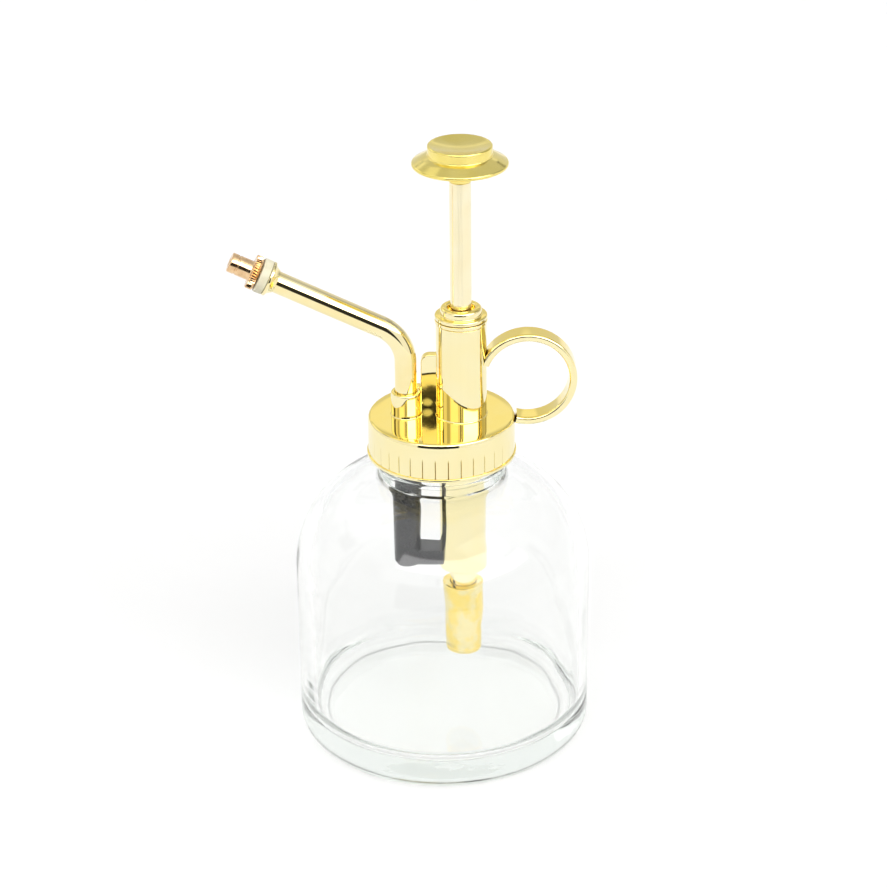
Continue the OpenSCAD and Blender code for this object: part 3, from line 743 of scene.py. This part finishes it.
def make_spout(finish):
    """The bent tube: an upright that starts in the boss, a bend, and a slope that ends in a flare."""
    foot, flare, bend_steps, slope_steps = SPOUT.low.z - BEND_Z, 2.4, 28, 6
    bell_r, bell_at = 3.2, 1.1
    steps = [foot, foot * 0.66, foot * 0.33] + [SLOPE_S * k / bend_steps for k in range(bend_steps + 1)]
    slope = TIP_S - SLOPE_S - flare
    steps += [SLOPE_S + slope * k / slope_steps for k in range(1, slope_steps + 1)]
    bell = [(SPOUT_R + bell_r - sqrt(bell_r**2 - (h + bell_at) ** 2), TIP_S - flare + h)
            for h in (0.1, 0.4, 0.7, 1.0, 1.25, 1.45, 1.6)]
    outline = [(SPOUT_R, s) for s in steps] + bell
    outline += [(FLARE_R - 0.06, TIP_S - 0.72), (FLARE_R, TIP_S - 0.55), (FLARE_R, TIP_S - 0.15)]
    outline += [(FLARE_R - 0.15, TIP_S), (BORE_R + 0.1, TIP_S), (BORE_R, TIP_S - 0.1)]
    outline += [(BORE_R, s) for s in reversed(steps)]
    bm = lathe(outline, along_spout, 72)
    return piece("spout", bm, finish, "head", ["spout_tube"])


def make_washer(finish):
    """The thick washer between the spout's flare and the nozzle."""
    bore, outer, low, high = 1.65, FLARE_R - 0.05, WASHER_S, WASHER_S + 2.45
    outline = rounded([(bore, low, 0.1), (outer, low, 0.45), (outer, high, 0.45), (bore, high, 0.1)], 6)
    bm = lathe(outline, along_spout, 96)
    return piece("washer", bm, finish, "head", ["nozzle_washer"])


def knurl(r, s, turn):
    """Sharp upright teeth round the nozzle's grip."""
    teeth, depth = 36, 0.5
    if r < 4.1 or not KNURL_S + 0.1 < s < KNURL_S + 1.9:
        return r
    share = turn / (2 * pi) * teeth
    return r - depth / 2 + depth * (1 - abs(2 * (share - floor(share)) - 1))


def make_nozzle(finish):
    """The turned brass cap: a knurled grip, a plain nose with a shallow groove, and the spray hole."""
    s, bore, grip, grip_top, nose = KNURL_S, 1.67, 4.3, KNURL_S + 2.0, 2.65
    groove_r = nose - 0.14
    outline = [(bore, s), (grip - 0.3, s), (grip - 0.1, s + 0.12), (grip, s + 0.25)]
    outline += [(grip, grip_top - 0.25), (grip - 0.1, grip_top - 0.12), (grip - 0.3, grip_top)]
    outline += [(nose + 0.25, grip_top), (nose, grip_top + 0.25)]
    outline += [(nose, s + 5.6), (groove_r, s + 5.75), (groove_r, s + 6.05), (nose, s + 6.2)]
    outline += arc((nose - 0.4, s + 7.6), 0.4, 0, 90, 5)
    outline += [(1.5, s + 8.0), (0.9, s + 7.7), (0.9, s + 7.5), (bore, s + 7.5)]
    bm = lathe(outline, along_spout, 288, knurl)
    return piece("nozzle_tip", bm, finish, "nozzle", ["nozzle_cap"])


def make_barrel(finish):
    """The pump's cylinder, with a flange under the cap and a spigot below."""
    low, floor_z, seat_z, top = BARREL.low.z, BARREL.low.z + 7.8, BARREL.low.z + 10.0, BARREL.high.z
    port, spigot, bore, outer, flange, upper = 1.6, 3.15, 4.9, 6.1, 7.6, SOCKET_R - 0.05
    flange_z = CAP_TOP - DISC_T - 2.25
    flange_top = flange_z + 1.4
    outline = rounded([
        (port, low, 0.2), (spigot, low, 0.4), (spigot, floor_z, 0.3), (outer, floor_z, 0.7),
        (outer, flange_z, 0.25), (flange, flange_z, 0.2), (flange, flange_top, 0.1), (upper, flange_top, 0.1),
        (upper, top, 0.15), (bore, top, 0.2), (bore, seat_z, 0.1), (port, seat_z, 0.1)], 5)
    bm = lathe(outline, upright(PUMP), 112)
    return piece("barrel", bm, finish, "head", ["pump_barrel"])


def make_suction(finish):
    """The wide tube below the barrel, with a rolled lower rim."""
    low, high, neck_z = SUCTION.low.z, SUCTION.high.z, SUCTION.high.z - 4.4
    bore, outer, neck, rim_top = 4.3, 5.2, 3.2, SUCTION.low.z + 1.1
    outline = rounded([
        (bore, low, 0.25), (outer, low, 0.4), (outer, rim_top, 0.2), (outer - 0.12, rim_top + 0.2, 0.2),
        (outer, rim_top + 0.4, 0.2), (outer, high, 0.4), (neck, high, 0.3), (neck, neck_z, 0),
        (bore, neck_z, 0)], 5)
    bm = lathe(outline, upright(PUMP), 112)
    return piece("suction_pipe", bm, finish, "head", ["suction_tube"])


def make_coil(name, node, box, radius, wire, turns, finish):
    """A round-wire spring whose end turns are closed, in place of a CAD node."""
    per_turn, sides = 32, 10
    close, span = 2 * wire + 0.1, box.size.z - 2 * wire
    stations = []
    for k in range(turns * per_turn + 1):
        t = k / per_turn
        rise = t * close if t < 1 else close + (t - 1) / (turns - 2) * (span - 2 * close)
        rise = span - (turns - t) * close if t > turns - 1 else rise
        out = Vector((cos(2 * pi * t), sin(2 * pi * t), 0))
        at = Vector((box.mid.x, box.mid.y, box.low.z + wire + rise)) + out * radius
        stations.append((at, out, Vector((0, 0, 1))))
    angles = [2 * pi * k / sides for k in range(sides)]
    section = [(wire * cos(a), wire * sin(a)) for a in angles]
    return piece(name, sweep(section, stations), finish, "head", [node])


def make_springs(finish):
    """Both springs: the button squeezes the long one downwards, the delivery ball the short one upwards."""
    main = make_coil("return_coil", "return_spring", SPRING, 3.95, 0.42, 9, finish)
    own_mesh(main)
    small = make_coil("outlet_coil", "outlet_spring", OUTLET_SPRING, 1.75, 0.25, 7, finish)
    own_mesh(small)


FINISHES = {make.__name__: make() for make in (
    clear_glass, gold_plating, worn_gold, button_gold, gold_tube, satin_gold, bare_brass, black_plastic,
    white_plastic, seal_rubber, spring_steel)}

# Finish of each CAD node that is shown as it is
NODE_FINISH = {
    "bare_brass": ["nozzle_stem", "outlet_seat"],
    "black_plastic": ["outlet_chamber", "chamber_plug", "valve_cage"],
    "white_plastic": ["guide_bush", "piston", "strainer", "neck_gasket"],
    "seal_rubber": ["rod_seal", "piston_seal", "barrel_seal", "spout_seal"],
    "spring_steel": ["stop_clip", "piston_nut", "foot_valve_ball", "outlet_ball", "orifice_disc"],
}


def dress_nodes():
    """Gives every CAD node that stays its finish."""
    for finish, names in NODE_FINISH.items():
        for name in names:
            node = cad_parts[name]
            node.data.materials.clear()
            node.data.materials.append(FINISHES[finish])
    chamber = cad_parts["outlet_chamber"]
    edges = chamber.modifiers.new("soft_edges", "BEVEL")
    edges.width, edges.segments = 0.35 * MM, 3
    edges.limit_method, edges.angle_limit = "ANGLE", radians(40)
    even = chamber.modifiers.new("even_normals", "WEIGHTED_NORMAL")
    even.keep_sharp = True


# ---------- studio ----------


def make_floor():
    """The round white table."""
    bm = bmesh.new()
    bmesh.ops.create_circle(bm, cap_ends=True, radius=0.85, segments=96)
    table = as_object("studio_floor", bm)
    table.location = (0, 0.25, 0)
    table.data.materials.append(studio_floor())
    bpy.context.scene.collection.objects.link(table)


# Panels round the object, as (bearing, half width, lowest, highest[, softness]) in degrees.
# Bearing 0 is the front, where the camera stands.
DARK_PANELS = (
    (88, 3, 20, 32), (148, 6, 24.5, 28.5, 1), (-99, 8, 20, 32), (-152, 5, 24.5, 28.5, 1),
    (-5, 31, -12, 22, 1.5), (-5.2, 1.8, 23, 31, 0.5), (5.2, 1.8, 23, 31, 0.5))
GREY_PANELS = ((-64, 8, 20, 32), (118, 18, 10, 50), (-118, 10, 34, 52))
# The same, with the strength of the light last
BRIGHT_PANELS = (
    (44, 35, 24, 36, 1.5, 4.5), (8, 52, 36, 51, 2.0, 4.0), (-34, 17, 20, 34, 2.5, 0.45),
    (-138, 18, 20, 34, 2.5, 0.45), (0, 3, 22, 32, 1.0, 0.25))


class Room(Nodes):
    """The world's nodes: an even white room, whose panels hide from the camera and from rays through glass."""

    def __init__(self, tree):
        super().__init__(tree)
        tree.nodes.clear()
        x, y, z = self.node("SeparateXYZ", {0: self.node("TexCoord").outputs["Generated"]}).outputs
        self.depth = y
        self.height = self.times(self.maths("ARCSINE", z), 180 / pi)
        self.bearing = self.times(self.maths("ARCTAN2", x, self.times(y, -1.0)), 180 / pi)
        paths = self.node("LightPath").outputs
        self.seen = self.times(self.maths("SUBTRACT", 1.0, paths["Is Transmission Ray"]),
                               self.maths("SUBTRACT", 1.0, paths["Is Camera Ray"]))

    def panel(self, middle, half_width, low, high, soft=2.5):
        """1 inside a panel, 0 outside it, with soft edges."""
        off = self.maths("ABSOLUTE", self.maths("SUBTRACT", self.bearing, middle))
        sides = self.remap(off, 1.0, 0.0, half_width - soft, half_width + soft)
        bottom = self.remap(self.height, 0.0, 1.0, low - soft, low + soft)
        top = self.remap(self.height, 1.0, 0.0, high - soft, high + soft)
        return self.times(sides, self.times(bottom, top))

    def covered(self, panels):
        """1 where any of the panels is."""
        return reduce(lambda one, two: self.maths("MAXIMUM", one, two), [self.panel(*p) for p in panels])

    def lit(self, panels):
        """The summed light of the panels."""
        return self.sum(*(self.times(self.panel(*place), strength) for *place, strength in panels))

    def left(self, cover, share):
        """What is left of the room's light where a cover takes a share of it."""
        return self.maths("SUBTRACT", 1.0, self.times(self.times(cover, self.seen), share))


def make_world():
    """The room's light: dark, grey and bright panels, a greyer ceiling and a greyer low back wall."""
    world = bpy.data.worlds.new("studio")
    bpy.context.scene.world = world
    world.use_nodes = True
    room = Room(world.node_tree)
    ceiling = room.times(room.remap(room.height, 0.0, 1.0, 27, 30), room.remap(room.depth, 0.0, 1.0, -0.2, 0.4))
    band = room.times(room.remap(room.height, 0.0, 1.0, -2, 4), room.remap(room.height, 1.0, 0.0, 23, 24.8))
    low_back = room.times(band, room.remap(room.depth, 0.0, 1.0, 0.0, 0.5))
    dark, grey = room.covered(DARK_PANELS), room.covered(GREY_PANELS)
    shares = ((dark, 0.97), (grey, 0.4), (ceiling, 0.35), (low_back, 0.24))
    kept = room.times(*(room.left(cover, share) for cover, share in shares))
    light = room.sum(kept, room.times(room.lit(BRIGHT_PANELS), room.seen))
    shine = room.node("Background", {"Color": colour(1.0, 1.0, 1.0), "Strength": light})
    room.node("OutputWorld", {"Surface": shine.outputs[0]})


def make_lamp(name, place, size, power):
    """A soft square lamp that faces the bottle's middle."""
    target = Vector((0, 0, 0.08))
    lamp = bpy.data.lights.new(name, "AREA")
    lamp.shape, lamp.size, lamp.energy = "SQUARE", size, power
    obj = bpy.data.objects.new(name, lamp)
    obj.location = place
    obj.rotation_mode = "QUATERNION"
    obj.rotation_quaternion = (Vector(place) - target).to_track_quat("Z", "Y")
    bpy.context.scene.collection.objects.link(obj)


def make_camera():
    """The photograph's view: from the front and above, with a long lens and a hair of roll."""
    height, distance, aside = 0.3871, 0.6152, 0.0005
    pitch, roll, lens = 26.170, -0.587, 104.08
    cam = bpy.data.cameras.new("camera")
    cam.lens, cam.sensor_width = lens, 36.0
    cam.clip_start, cam.clip_end = 0.01, 50.0
    obj = bpy.data.objects.new("camera", cam)
    bpy.context.scene.collection.objects.link(obj)
    look = Matrix.Rotation(radians(90 - pitch), 4, "X") @ Matrix.Rotation(radians(roll), 4, "Z")
    obj.matrix_world = Matrix.Translation((aside, -distance, height)) @ look
    bpy.context.scene.camera = obj


def lens_finish(name, one, two):
    """A slightly uneven tone between two colours, for the parts of the camera."""
    f = Finish(name, IOR=1.5, Roughness=0.5)
    f.feed(Base_Color=f.blend(f.remap(f.noise(4, 2), 0.0, 1.0), one, two))
    return f.material


def make_lens():
    """The camera's own lens, which the gold mirrors where walls meet the cap's flat top: a pale centre, which
    is a painted reflection of the bright room in the lens's coating, and a dark ring, set just behind the
    camera so that it stays unseen."""
    # The pale centre is a painted reflection: the bright room mirrored in the lens's coating.
    painted_glare, dark = (0.93, 0.97, 0.94), (0.008, 0.007, 0.006)
    aside = -9.6 * MM
    for name, low, high, tone in (("centre", 0.0, 3.1, painted_glare), ("ring", 3.1, 10.8, dark)):
        outline = rounded([(low, 1.0, 0), (high, 1.0, 0.2), (high, 3.0, 0.2), (low, 3.0, 0)], 3)
        obj = as_object("lens_" + name, lathe(outline, upright((0, 0)), 64))
        obj.data.materials.append(lens_finish("lens_" + name, colour(*tone), colour(*(0.95 * c for c in tone))))
        obj.matrix_world = Matrix.Translation((aside, 0, 0)) @ bpy.context.scene.camera.matrix_world
        bpy.context.scene.collection.objects.link(obj)


# ---------- scene ----------

bpy.context.scene.view_settings.view_transform = "Standard"
light_paths = bpy.context.scene.cycles
light_paths.max_bounces, light_paths.transmission_bounces, light_paths.glossy_bounces = 32, 32, 12

make_camera()
make_world()
make_floor()
make_lens()
make_lamp("key", (0.5, -0.35, 0.9), 0.5, 0.5)
make_lamp("fill", (-0.6, 0.3, 0.8), 0.6, 0.4)
dress_nodes()

make_bottle(FINISHES["clear_glass"])
for make in (make_cap, make_cap_thread, make_tower, make_boss, make_rib, make_ring, make_gland, make_barrel):
    make(FINISHES["gold_plating"])
make_button(FINISHES["button_gold"])
make_suction(FINISHES["worn_gold"])
make_spout(FINISHES["gold_tube"])
make_rod(FINISHES["satin_gold"])
make_washer(FINISHES["white_plastic"])
make_nozzle(FINISHES["bare_brass"])
make_springs(FINISHES["spring_steel"])
